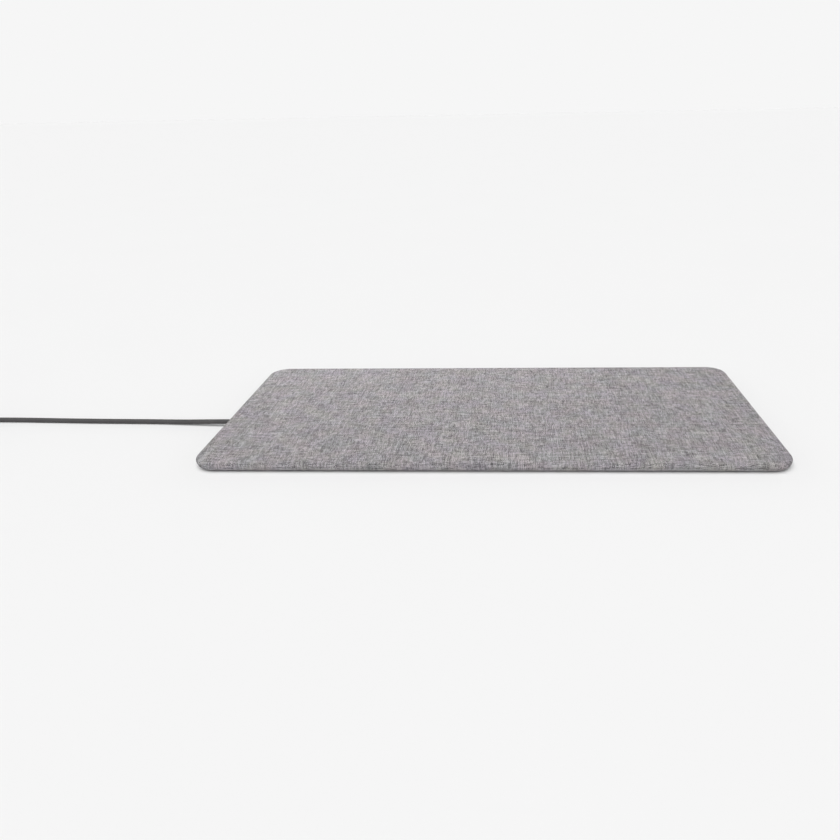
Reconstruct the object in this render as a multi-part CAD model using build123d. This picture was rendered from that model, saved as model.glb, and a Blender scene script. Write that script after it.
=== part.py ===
"""Fabric-covered wireless charging mat with its supply lead, as separate pieces.

Frame: +X along the long side, +Y towards the back, +Z up. The origin is the centre of the
underside of the mat's footprint. All sizes are in millimetres.
"""

from build123d import *
import math
import os

os.makedirs("parts", exist_ok=True)

# ---- driving dimensions -------------------------------------------------------------------
WIDTH = 400.0
DEPTH = 178.0
THICKNESS = 7.0
CORNER_R = 15.0

CLOTH = 0.6
CLOTH_TOP_R = 2.3
CLOTH_LOW_R = 4.0
HEM_WIDTH = 14.0

MAT_THICK = 0.6
MAT_INSET = 7.0
FILM = 0.2
FOAM = 0.8
FOAM_INSET = 4.6

WALL = 3.0
SPLIT_Z = 3.4
FLOOR_TOP_Z = 1.9
CEILING_Z = 4.4

COIL_PITCH = 120.0
COIL_SHIFT = 15.0
COIL_OUT_R = 25.0
COIL_IN_R = 10.5
COIL_THICK = 1.1
COIL_TAPE = 0.1
FERRITE_SIDE = 54.0
FERRITE_THICK = 0.6
SPREADER_THICK = 0.4
LEAD_WIRE_D = 0.8

BOARD_X = -167.0
BOARD_LONG = 36.0
BOARD_DEEP = 96.0
BOARD_THICK = 0.8
BOARD_GAP = 0.2

SCREW_R = 1.0
SCREW_HEAD_R = 1.8
SCREW_HEAD = 0.8
SMALL_SCREW_R = 0.7
BOSS_R = 2.6

CORD_D = 3.6
EXIT_Y = -16.6
EXIT_Z = 3.6
BUSHING_R = 2.1
CLAMP_LOW_Z = 3.0
CLAMP_WIDE = 3.6
CLAMP_THICK = 0.7

TURNS_X = -427.0
TURNS_Y = -34.0
TURN_MID_R = 20.0
TURN_COLUMNS = 3
TURN_LAYERS = 4
TURNS_WIDE = TURN_COLUMNS * CORD_D
TURNS_HIGH = CORD_D * (1 + (TURN_LAYERS - 1) * math.sqrt(3) / 2)
TIE_WIDTH = 9.0
TIE_THICK = 0.9
TIE_ANGLE = -60.0

RELIEF_LONG = 12.0
RELIEF_END_R = 2.9
BODY_LONG = 21.0
BODY_WIDE = 11.4
BODY_HIGH = 6.2
SHELL_LONG = 6.65
SHELL_WIDE = 8.34
SHELL_HIGH = 2.56
SHELL_WALL = 0.3

# ---- heights that follow ------------------------------------------------------------------
CLOTH_LOW_Z = MAT_THICK
SHELL_LOW_Z = CLOTH_LOW_Z + CLOTH
SHELL_TOP_Z = THICKNESS - CLOTH
TRAY_LOW_Z = MAT_THICK + FILM
FOAM_LOW_Z = SHELL_TOP_Z - FOAM
RECESS_Z = FOAM_LOW_Z - FILM
COIL_TOP_Z = CEILING_Z - COIL_TAPE
FERRITE_TOP_Z = COIL_TOP_Z - COIL_THICK
SPREADER_TOP_Z = FERRITE_TOP_Z - FERRITE_THICK - 0.1
LEAD_RISE_Y = FERRITE_SIDE / 2 + 1.6
LEAD_TOP_Z = FERRITE_TOP_Z + COIL_THICK / 2
BOARD_LOW_Z = FLOOR_TOP_Z + BOARD_GAP
BOARD_TOP_Z = BOARD_LOW_Z + BOARD_THICK

COIL_NAMES = ("left", "centre", "right")
COIL_X = [COIL_SHIFT + COIL_PITCH * step for step in (-1, 0, 1)]
BOSS_SPOTS = [(x, y) for x in (-182, -66, 78, 182) for y in (-72, 72)]
BOARD_SPOTS = [(BOARD_X + x, y) for x in (-14.5, 14.5) for y in (-43, 43)]
CLAMP_SPOTS = [(-191.5, EXIT_Y + y) for y in (-8.5, 8.5)]

# The lead's route on the table, from inside its bushing to the coil: hand-set points.
LEAD_POINTS = [
    (-197.0, -16.6, 3.6),
    (-213.0, -16.6, 3.6),
    (-236.0, -14.4, 2.3),
    (-262.0, -12.6, 1.85),
    (-295.0, -12.0, 1.8),
    (-331.0, -10.9, 1.8),
    (-368.0, -9.3, 1.8),
    (-396.0, -8.9, 1.8),
    (-417.0, -10.1, 1.8),
]

# The last stretch, from the top of the coil over its outer turn and down to the plug.
TAIL_POINTS = [
    (-428.0, -11.7, 11.6),
    (-437.0, -11.3, 12.0),
    (-448.0, -14.3, 10.4),
    (-456.5, -22.5, 6.2),
    (-460.5, -34.0, 3.1),
    (-461.5, -46.0, 3.1),
]


def slab(inset, low, high, corner=None):
    """Rounded-rectangle plate, inset from the mat's outline, between two heights."""
    radius = corner if corner is not None else max(CORNER_R - inset, 2.0)
    outline = RectangleRounded(WIDTH - 2 * inset, DEPTH - 2 * inset, radius)
    return Pos(0, 0, low) * extrude(outline, high - low)


def plate(x, y, low, size, rounding=0.0):
    """Box of (x, y, z) size standing on a height, with its upright edges rounded."""
    solid = Pos(x, y, low + size[2] / 2) * Box(*size)
    if rounding > 0:
        solid = fillet(solid.edges().filter_by(Axis.Z), rounding)
    return solid


def post(x, y, radius, low, high):
    """Upright cylinder between two heights."""
    return Pos(x, y, (low + high) / 2) * Cylinder(radius, high - low)


def bar_x(y, z, radius, start, end):
    """Cylinder along X between two stations."""
    return Pos((start + end) / 2, y, z) * Rot(0, 90, 0) * Cylinder(radius, abs(end - start))


def bar_y(x, z, radius, start, end):
    """Cylinder along Y between two stations."""
    return Pos(x, (start + end) / 2, z) * Rot(90, 0, 0) * Cylinder(radius, abs(end - start))


def rounded_slab(inset, low, high, low_r, top_r):
    """Plate whose lower and upper rims are rounded."""
    solid = slab(inset, low, high)
    if top_r > 0:
        solid = fillet(solid.edges().group_by(Axis.Z)[-1], top_r)
    if low_r > 0:
        solid = fillet(solid.edges().group_by(Axis.Z)[0], low_r)
    return solid


def shell_block():
    """Outer form of both shells together, before they are hollowed and split."""
    return rounded_slab(CLOTH, SHELL_LOW_Z, SHELL_TOP_Z, CLOTH_LOW_R - CLOTH, CLOTH_TOP_R - CLOTH)


def fabric_cover():
    """Cloth skin: top, bullnose edge and the hem under the rim, with the lead's hole."""
    outer = rounded_slab(0, CLOTH_LOW_Z, THICKNESS, CLOTH_LOW_R, CLOTH_TOP_R)
    inner = shell_block()
    mouth = slab(HEM_WIDTH, CLOTH_LOW_Z - 1, SHELL_LOW_Z + 0.1, 3.0)
    hole = bar_x(EXIT_Y, EXIT_Z, BUSHING_R, -WIDTH / 2 - 1, -WIDTH / 2 + 5)
    return outer - inner - mouth - hole


def bushing_space():
    """Room for the lead's bushing in the wall of both shells."""
    return bar_x(EXIT_Y, EXIT_Z, BUSHING_R, -WIDTH / 2 - 1, -WIDTH / 2 + CLOTH + WALL + 0.5)


def upper_housing():
    """Upper shell: rounded rim, foam recess on top, cavity and screw bosses below."""
    body = shell_block() - slab(-1, SHELL_LOW_Z - 1, SPLIT_Z)
    body -= slab(FOAM_INSET, RECESS_Z, SHELL_TOP_Z + 1)
    body -= slab(CLOTH + WALL, SPLIT_Z - 1, CEILING_Z)
    for x, y in BOSS_SPOTS:
        body += post(x, y, BOSS_R, SPLIT_Z - 0.4, CEILING_Z)
        body -= post(x, y, SCREW_R, SPLIT_Z - 1, CEILING_Z + 0.6)
    return body - bushing_space()


def lower_housing():
    """Tray: floor, wall, screw bosses, board posts and clamp posts."""
    body = shell_block() - slab(-1, SPLIT_Z, SHELL_TOP_Z + 1)
    body += slab(HEM_WIDTH + 0.4, TRAY_LOW_Z, SHELL_LOW_Z, 3.0)
    body -= slab(CLOTH + WALL, FLOOR_TOP_Z, SPLIT_Z + 1)
    for x, y in BOSS_SPOTS:
        body += post(x, y, BOSS_R, FLOOR_TOP_Z, SPLIT_Z - 0.4)
        body -= post(x, y, SCREW_R + 0.1, 0, SPLIT_Z)
        body -= post(x, y, SCREW_HEAD_R, 0, TRAY_LOW_Z + SCREW_HEAD)
    for x, y in BOARD_SPOTS:
        body += post(x, y, 1.8, FLOOR_TOP_Z, BOARD_LOW_Z)
        body -= post(x, y, SMALL_SCREW_R, SHELL_LOW_Z + 0.3, BOARD_LOW_Z + 1)
    for x, y in CLAMP_SPOTS:
        body += post(x, y, 1.8, FLOOR_TOP_Z, CLAMP_LOW_Z)
        body -= post(x, y, SMALL_SCREW_R, SHELL_LOW_Z + 0.3, CLAMP_LOW_Z + 1)
    return body - bushing_space()


def housing_screws():
    """Screws that close the shell, heads down under the base mat, each with a cross recess."""
    screws = []
    for x, y in BOSS_SPOTS:
        body = post(x, y, SCREW_HEAD_R - 0.05, TRAY_LOW_Z, TRAY_LOW_Z + SCREW_HEAD)
        body += post(x, y, SCREW_R, TRAY_LOW_Z + SCREW_HEAD, CEILING_Z + 0.4)
        for turn in (0, 90):
            body -= Pos(x, y, TRAY_LOW_Z) * Rot(0, 0, turn) * Box(2.0, 0.35, 0.7)
        screws.append(body)
    return screws


def small_screws(spots, top_of_seat):
    """Small screws with their heads up."""
    out = []
    for x, y in spots:
        body = post(x, y, 1.35, top_of_seat, top_of_seat + 0.6)
        body += post(x, y, SMALL_SCREW_R, SHELL_LOW_Z + 0.35, top_of_seat)
        body -= Pos(x, y, top_of_seat + 0.6) * Box(1.8, 0.3, 0.5)
        body -= Pos(x, y, top_of_seat + 0.6) * Box(0.3, 1.8, 0.5)
        out.append(body)
    return out


def coil(x):
    """Flat charging winding: a ring with a shallow groove between its outer turns."""
    low = COIL_TOP_Z - COIL_THICK
    ring = post(x, 0, COIL_OUT_R, low, COIL_TOP_Z) - post(x, 0, COIL_IN_R, low - 1, COIL_TOP_Z + 1)
    for radius in (13.5, 16.5, 19.5, 22.5):
        groove = post(x, 0, radius + 0.15, low - 0.1, low + 0.2)
        groove -= post(x, 0, radius - 0.15, low - 1, low + 1)
        ring -= groove
    return ring


def coil_tape(x):
    """Adhesive ring between a coil and the upper shell."""
    ring = post(x, 0, COIL_OUT_R - 1, COIL_TOP_Z, CEILING_Z)
    return ring - post(x, 0, COIL_IN_R + 1, COIL_TOP_Z - 1, CEILING_Z + 1)


def ferrite(x):
    """Square ferrite sheet under a coil."""
    low = FERRITE_TOP_Z - FERRITE_THICK
    return plate(x, 0, low, (FERRITE_SIDE, FERRITE_SIDE, FERRITE_THICK), 4.0)


def coil_leads(x, row):
    """Pair of wires from the board along the tray's floor, up past the ferrite to a coil."""
    start = BOARD_X + BOARD_LONG / 2
    z = FLOOR_TOP_Z + LEAD_WIRE_D / 2
    wires = []
    for step in (0, 1):
        y = 36.0 + row * 4.0 + step * 1.4
        end = x + 3.0 * step
        radius = LEAD_WIRE_D / 2
        run = bar_x(y, z, radius, start, end)
        run += bar_y(end, z, radius, LEAD_RISE_Y, y)
        run += post(end, LEAD_RISE_Y, radius, z, LEAD_TOP_Z)
        run += bar_y(end, LEAD_TOP_Z, radius, COIL_OUT_R, LEAD_RISE_Y)
        for bend in ((end, y, z), (end, LEAD_RISE_Y, z), (end, LEAD_RISE_Y, LEAD_TOP_Z)):
            run += Pos(*bend) * Sphere(radius)
        wires.append(run)
    return wires


def heat_spreader():
    """Thin aluminium sheet under the three ferrites."""
    low = SPREADER_TOP_Z - SPREADER_THICK
    long = 2 * COIL_PITCH + FERRITE_SIDE
    return plate(COIL_SHIFT, 0, low, (long, FERRITE_SIDE, SPREADER_THICK), 3.0)


def main_board():
    """Circuit board with its screw holes."""
    board = plate(BOARD_X, 0, BOARD_LOW_Z, (BOARD_LONG, BOARD_DEEP, BOARD_THICK), 1.5)
    for x, y in BOARD_SPOTS:
        board -= post(x, y, SMALL_SCREW_R, 0, THICKNESS)
    return board


def chip(x, y, side_x, side_y, high):
    """Flat chip package with its corner mark."""
    body = plate(x, y, BOARD_TOP_Z, (side_x, side_y, high), 0.2)
    return body - post(x - side_x / 2 + 0.8, y + side_y / 2 - 0.8, 0.3, BOARD_TOP_Z + high - 0.1, THICKNESS)


def two_pad(x, y, size):
    """Small two-ended part: a body between two end caps."""
    long, wide, high = size
    body = plate(x, y, BOARD_TOP_Z, (long * 0.6, wide * 0.9, high * 0.92))
    for side in (-1, 1):
        body += plate(x + side * long * 0.4, y, BOARD_TOP_Z, (long * 0.2, wide, high))
    return body


def power_inductor():
    """Shielded inductor: a chamfered square block with its round core on top."""
    body = plate(BOARD_X + 3, 26, BOARD_TOP_Z, (7, 7, 1.1), 1.0)
    return body + post(BOARD_X + 3, 26, 2.4, BOARD_TOP_Z, BOARD_TOP_Z + 1.3)


def board_parts():
    """The groups of small parts on the board."""
    drivers = [chip(BOARD_X + 8, y, 4, 4, 0.75) for y in (-30, -8, 12)]
    resonant = [
        two_pad(BOARD_X + 12.5, y + step * 2.6, (3.2, 2.0, 1.2)) for y in (-32, -10, 10) for step in (0, 1, 2)
    ]
    filters = [two_pad(BOARD_X - 11, y, (3.2, 1.6, 1.0)) for y in (12, 16, 20, 24, 28)]
    filters += [two_pad(BOARD_X - 3, y, (2.0, 1.2, 0.8)) for y in (-36, -33, -30, -27)]
    resistors = [two_pad(BOARD_X - 2.5, y, (1.6, 0.8, 0.5)) for y in (-22, -20, -18, -16, 14, 16, 18)]
    return {
        "control_chip": chip(BOARD_X - 2, 2, 7, 7, 0.85),
        "driver_chips": drivers,
        "power_inductor": power_inductor(),
        "resonant_capacitors": resonant,
        "filter_capacitors": filters,
        "board_resistors": resistors,
    }


def temperature_sensor(x):
    """Bead in the middle of a coil, resting on the ferrite."""
    low = FERRITE_TOP_Z
    bead = plate(x, 0, low, (3.2, 1.8, 1.0), 0.6)
    return bead + plate(x + 3.6, 0, low, (4.0, 0.6, 0.3))


def board_header():
    """Open-topped connector on the board, mouth towards the lead."""
    body = plate(BOARD_X - 12, EXIT_Y, BOARD_TOP_Z, (6.0, 7.0, 1.4))
    return body - plate(BOARD_X - 13.0, EXIT_Y, BOARD_TOP_Z + 0.3, (6.0, 5.4, 2.0))


def lead_connector():
    """Crimp housing that sits in the header."""
    low = BOARD_TOP_Z + 0.3
    return plate(BOARD_X - 13.2, EXIT_Y, low, (5.4, 5.2, 1.1), 0.3)


def lead_wires():
    """The two wires between the bushing and the connector."""
    z = BOARD_TOP_Z + 0.85
    wires = []
    for side in (-1, 1):
        wires.append(bar_x(EXIT_Y + side * 1.2, z, 0.5, -187.0, BOARD_X - 15.9))
    return wires


def cord_bushing():
    """Strain relief on the lead: a sleeve in the wall and a flat flange with the clamp's seat."""
    sleeve_end = -WIDTH / 2 + CLOTH + WALL
    sleeve = bar_x(EXIT_Y, EXIT_Z, BUSHING_R, -WIDTH / 2 + CLOTH, sleeve_end)
    sleeve -= bar_x(EXIT_Y, EXIT_Z, CORD_D / 2, -WIDTH / 2 - 1, LEAD_POINTS[0][0])
    flange = plate(sleeve_end + 4.7, EXIT_Y, FLOOR_TOP_Z, (9.4, 10.0, 2.4), 1.0)
    seat = plate(CLAMP_SPOTS[0][0], EXIT_Y, CLAMP_LOW_Z, (CLAMP_WIDE + 0.1, 12.0, 2.0))
    return sleeve + flange - seat


def bushing_clamp():
    """Bar across the bushing's flange, with a screw hole at each end."""
    bar = plate(CLAMP_SPOTS[0][0], EXIT_Y, CLAMP_LOW_Z, (CLAMP_WIDE, 21.0, CLAMP_THICK), 1.4)
    for x, y in CLAMP_SPOTS:
        bar -= post(x, y, SMALL_SCREW_R, 0, THICKNESS)
    return bar


def lead_path(points):
    """Straight runs joined by tangent arcs, each as large as its two runs allow."""
    radii = []
    for before, at, after in zip(points, points[1:], points[2:]):
        into = Vector(*at) - Vector(*before)
        out = Vector(*after) - Vector(*at)
        half_turn = math.radians(into.get_angle(out)) / 2
        radii.append(0.45 * min(into.length, out.length) / math.tan(half_turn))
    return FilletPolyline(*points, radius=radii), radii


def cord_tube(name, points):
    """Round tube along a route; prints its radii, length and volume ratio."""
    path, radii = lead_path(points)
    section = Plane(path @ 0, z_dir=path % 0) * Circle(CORD_D / 2)
    tube = sweep(section, path=path)
    expected = math.pi * (CORD_D / 2) ** 2 * path.length
    print(name, "radii", [round(r, 1) for r in radii])
    print(name, "length", round(path.length, 1), "volume ratio", round(tube.volume / expected, 4))
    return tube


def coil_ring():
    """Outer shape of the wound turns, as one ring with softened corners."""
    section = Pos(TURN_MID_R, TURNS_HIGH / 2) * RectangleRounded(TURNS_WIDE, TURNS_HIGH, 1.6)
    return Pos(TURNS_X, TURNS_Y, 0) * revolve(Plane.XZ * section, Axis.Z)


def tie_bar(grow, width):
    """Bar of the strap's section, grown outwards, along the turns at the tie's place."""
    section = RectangleRounded(TURNS_WIDE + 2 * grow, TURNS_HIGH - TIE_THICK + 2 * grow, 1.4 + grow)
    bar = extrude(Plane.XZ * (Pos(0, (TURNS_HIGH + TIE_THICK) / 2) * section), width / 2, both=True)
    angle = math.radians(TIE_ANGLE)
    x = TURNS_X + TURN_MID_R * math.cos(angle)
    y = TURNS_Y + TURN_MID_R * math.sin(angle)
    return Pos(x, y, 0) * Rot(0, 0, TIE_ANGLE) * bar


def cord_tie():
    """Closed strap round the turns."""
    return tie_bar(TIE_THICK, TIE_WIDTH) - tie_bar(0, TIE_WIDTH + 2)


def cord_coil():
    """The put-away turns, drawn in where the strap goes round them."""
    room = tie_bar(TIE_THICK + 4, TIE_WIDTH + 0.4) - tie_bar(-0.02, TIE_WIDTH + 2)
    return coil_ring() - room


def plug_frame():
    """Frame at the lead's end, local X along the plug's axis."""
    (x1, y1, _), (x2, y2, z2) = TAIL_POINTS[-2:]
    return Pos(x2, y2, z2) * Rot(0, 0, math.degrees(math.atan2(y2 - y1, x2 - x1)))


def plug_relief():
    """Tapered, ribbed sleeve between the lead and the plug's body."""
    start_r = CORD_D / 2 + 0.35
    lie = Rot(0, 90, 0)
    sleeve = lie * Cone(start_r, RELIEF_END_R, RELIEF_LONG, align=(Align.CENTER, Align.CENTER, Align.MIN))
    for step in range(4):
        at = 2.0 + 2.4 * step
        core_r = start_r + (RELIEF_END_R - start_r) * at / RELIEF_LONG - 0.35
        groove = Pos(at, 0, 0) * lie * (Cylinder(5, 1.1) - Cylinder(core_r, 2))
        sleeve -= groove
    return plug_frame() * sleeve


def plug_body():
    """Moulded grip of the plug, with a shallow finger recess on both faces."""
    block = Pos(RELIEF_LONG + BODY_LONG / 2, 0, 0) * Box(BODY_LONG, BODY_WIDE, BODY_HIGH)
    block = fillet(block.edges().filter_by(Axis.X), 2.6)
    recess = extrude(RectangleRounded(12.0, 5.4, 2.6), 1)
    middle = RELIEF_LONG + BODY_LONG / 2 + 1
    block -= Pos(middle, 0, BODY_HIGH / 2 - 0.25) * recess
    block -= Pos(middle, 0, -BODY_HIGH / 2 - 0.75) * recess
    return plug_frame() * block


def stadium(width, height, long):
    """Bar of flat-oval section along local X, starting at the local origin."""
    section = Plane.YZ * RectangleRounded(width, height, height / 2 - 0.01)
    return extrude(section, long)


def plug_shell():
    """Metal tongue sleeve of the plug, open at its end."""
    start = RELIEF_LONG + BODY_LONG
    sleeve = Pos(start, 0, 0) * stadium(SHELL_WIDE, SHELL_HIGH, SHELL_LONG)
    sleeve -= Pos(start - 1, 0, 0) * stadium(
        SHELL_WIDE - 2 * SHELL_WALL, SHELL_HIGH - 2 * SHELL_WALL, SHELL_LONG + 2
    )
    return plug_frame() * sleeve


def plug_insert():
    """Insulator in the sleeve, with the slot that takes the socket's tongue."""
    start = RELIEF_LONG + BODY_LONG
    long = SHELL_LONG - 0.3
    block = Pos(start, 0, 0) * stadium(SHELL_WIDE - 2 * SHELL_WALL, SHELL_HIGH - 2 * SHELL_WALL, long)
    block -= Pos(start + 1.6 + long / 2, 0, 0) * Box(long, 6.9, 0.9)
    return plug_frame() * block


def write(name, shape):
    """Write one node's solids to its own file."""
    solids = shape if isinstance(shape, list) else [shape]
    flat = [solid for item in solids for solid in item.solids()]
    export_step(flat[0] if len(flat) == 1 else Compound(children=flat), "parts/" + name + ".step")


nodes = {
    "base_mat": slab(MAT_INSET, 0, MAT_THICK),
    "base_adhesive": slab(HEM_WIDTH + 0.6, MAT_THICK, TRAY_LOW_Z, 2.8),
    "fabric_cover": fabric_cover(),
    "foam_layer": slab(FOAM_INSET, FOAM_LOW_Z, SHELL_TOP_Z),
    "foam_adhesive": slab(FOAM_INSET + 1, RECESS_Z, FOAM_LOW_Z),
    "upper_housing": upper_housing(),
    "lower_housing": lower_housing(),
    "housing_screws": housing_screws(),
    "heat_spreader": heat_spreader(),
    "main_board": main_board(),
    "board_screws": small_screws(BOARD_SPOTS, BOARD_TOP_Z),
    "board_header": board_header(),
    "lead_connector": lead_connector(),
    "lead_wires": lead_wires(),
    "cord_bushing": cord_bushing(),
    "bushing_clamp": bushing_clamp(),
    "clamp_screws": small_screws(CLAMP_SPOTS, CLAMP_LOW_Z + CLAMP_THICK),
    "temperature_sensors": [temperature_sensor(x) for x in COIL_X],
    "cord_lead": cord_tube("cord_lead", LEAD_POINTS),
    "cord_coil": cord_coil(),
    "cord_tie": cord_tie(),
    "cord_tail": cord_tube("cord_tail", TAIL_POINTS),
    "plug_relief": plug_relief(),
    "plug_body": plug_body(),
    "plug_shell": plug_shell(),
    "plug_insert": plug_insert(),
}
nodes.update(board_parts())
for row, (side, x) in enumerate(zip(COIL_NAMES, COIL_X)):
    nodes["coil_" + side] = coil(x)
    nodes["coil_tape_" + side] = coil_tape(x)
    nodes["ferrite_" + side] = ferrite(x)
    nodes["coil_leads_" + side] = coil_leads(x, row)

for name, shape in nodes.items():
    write(name, shape)
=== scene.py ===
"""Looks of a thin charging mat covered in melange cloth, with its supply lead and plug."""

import logging
import math
from dataclasses import dataclass, field
from enum import Enum
from typing import Callable, Iterable, Optional, Union

import bmesh
import bpy
from mathutils import Matrix, Vector, noise


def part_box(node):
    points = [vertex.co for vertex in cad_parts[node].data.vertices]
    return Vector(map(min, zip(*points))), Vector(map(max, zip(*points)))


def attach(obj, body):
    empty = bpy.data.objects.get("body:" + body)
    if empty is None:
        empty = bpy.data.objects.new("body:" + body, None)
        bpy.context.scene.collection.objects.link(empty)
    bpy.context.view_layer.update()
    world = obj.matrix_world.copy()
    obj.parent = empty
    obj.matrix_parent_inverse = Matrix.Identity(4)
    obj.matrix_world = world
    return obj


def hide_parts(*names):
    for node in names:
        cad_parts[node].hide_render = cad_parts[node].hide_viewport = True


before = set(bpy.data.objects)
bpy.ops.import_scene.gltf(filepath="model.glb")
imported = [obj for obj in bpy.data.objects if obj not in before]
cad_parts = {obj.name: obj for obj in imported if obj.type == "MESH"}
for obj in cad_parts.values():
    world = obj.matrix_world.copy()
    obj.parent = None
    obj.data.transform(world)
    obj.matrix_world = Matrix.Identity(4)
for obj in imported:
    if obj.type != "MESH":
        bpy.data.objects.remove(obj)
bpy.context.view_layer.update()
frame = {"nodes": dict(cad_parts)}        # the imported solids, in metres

log = logging.getLogger("charging_mat")

ROOT = "root"
MM = 0.001
TINY = 0.001 * MM

Colour = tuple[float, float, float]
Point = tuple[float, float, float]
Pair = tuple[float, float]

LONG_WAY: Point = (1.0, 0.0, 0.0)
DEEP_WAY: Point = (0.0, 1.0, 0.0)
UP_WAY: Point = (0.0, 0.0, 1.0)


class Side(Enum):
    """The charging coils, as seen from the front."""

    LEFT = "left"
    CENTRE = "centre"
    RIGHT = "right"


# ---- shader arithmetic --------------------------------------------------------------------


def arithmetic(operation: str, turned: bool = False) -> Callable[..., "Value"]:
    """Makes one method of Value.

    Args:
        operation: Blender's name of the Math operation.
        turned: whether the value itself comes last, as in 1 - mask.

    Returns:
        The method.
    """

    def method(self: "Value", *others: "Number") -> "Value":
        """Adds the Math node.

        Args:
            others: the other operands.

        Returns:
            What comes out of the node.
        """
        operands = [*others, self] if turned else [self, *others]
        made = self.graph.node("ShaderNodeMath", {"operation": operation}, dict(enumerate(operands)))
        return self.graph.value(made)

    return method


class Value:
    """A number that comes out of a node; arithmetic on it adds Math nodes."""

    __add__ = arithmetic("ADD")
    __radd__ = arithmetic("ADD", turned=True)
    __sub__ = arithmetic("SUBTRACT")
    __rsub__ = arithmetic("SUBTRACT", turned=True)
    __mul__ = arithmetic("MULTIPLY")
    __rmul__ = arithmetic("MULTIPLY", turned=True)
    __truediv__ = arithmetic("DIVIDE")
    __mod__ = arithmetic("FLOORED_MODULO")
    __gt__ = arithmetic("GREATER_THAN")
    floor = arithmetic("FLOOR")
    part = arithmetic("FRACT")
    size = arithmetic("ABSOLUTE")
    sine = arithmetic("SINE")
    root = arithmetic("SQRT")
    bearing = arithmetic("ARCTAN2")
    at_least = arithmetic("MAXIMUM")
    at_most = arithmetic("MINIMUM")

    def __init__(self, graph: "Graph", socket: bpy.types.NodeSocket) -> None:
        """Wraps one output socket of a graph."""
        self.graph = graph
        self.socket = socket

    def spread(self, low: float, high: float) -> "Value":
        """Moves the range low..high to 0..1, smoothly and clamped.

        Args:
            low: what becomes 0.
            high: what becomes 1; below low, the range is turned round.

        Returns:
            The moved number.
        """
        made = self.graph.node(
            "ShaderNodeMapRange",
            {"interpolation_type": "SMOOTHSTEP"},
            {"Value": self, "From Min": low, "From Max": high},
        )
        return self.graph.value(made)


Number = Union[Value, float, int]
Paint = Union[bpy.types.NodeSocket, Colour]


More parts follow.
